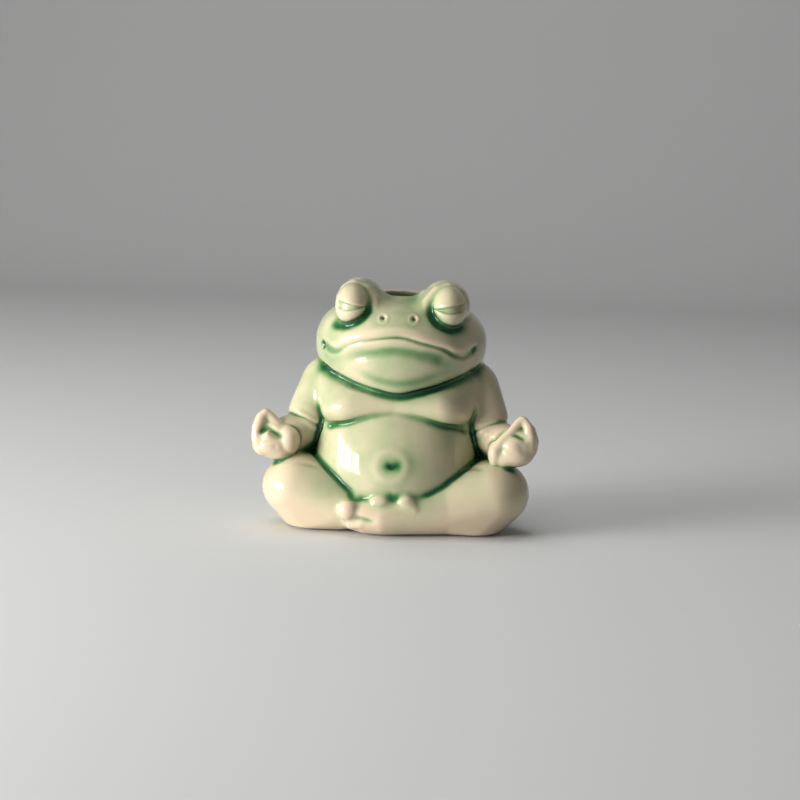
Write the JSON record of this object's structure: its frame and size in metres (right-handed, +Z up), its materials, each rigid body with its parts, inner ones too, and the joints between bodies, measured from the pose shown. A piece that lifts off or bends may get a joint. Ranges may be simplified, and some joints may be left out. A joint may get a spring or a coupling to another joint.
{
  "type": "frog figurine",
  "caption": "Glazed ceramic frog sitting cross-legged with hands on its knees, hollow, with a round opening in the top of its head.",
  "frame": {"origin": "middle of the bounding box on the floor that the frog sits on", "axes": "+Z up, the frog faces -Y, and +X is its own left"},
  "size_m": [0.0876, 0.0606, 0.0769],
  "materials": {
    "celadon_glaze": "clear celadon glaze, pale where it is thin on the ridges and deep green where it pools"
  },
  "bodies": {
    "root": {"trunk": "celadon_glaze", "head": "celadon_glaze", "left_eye": "celadon_glaze", "left_upper_arm": "celadon_glaze", "left_forearm": "celadon_glaze", "left_hand": "celadon_glaze", "left_thigh": "celadon_glaze", "left_shin": "celadon_glaze", "left_foot": "celadon_glaze", "right_eye": "celadon_glaze", "right_upper_arm": "celadon_glaze", "right_forearm": "celadon_glaze", "right_hand": "celadon_glaze", "right_thigh": "celadon_glaze", "right_shin": "celadon_glaze", "right_foot": "celadon_glaze"}
  },
  "joints": []
}
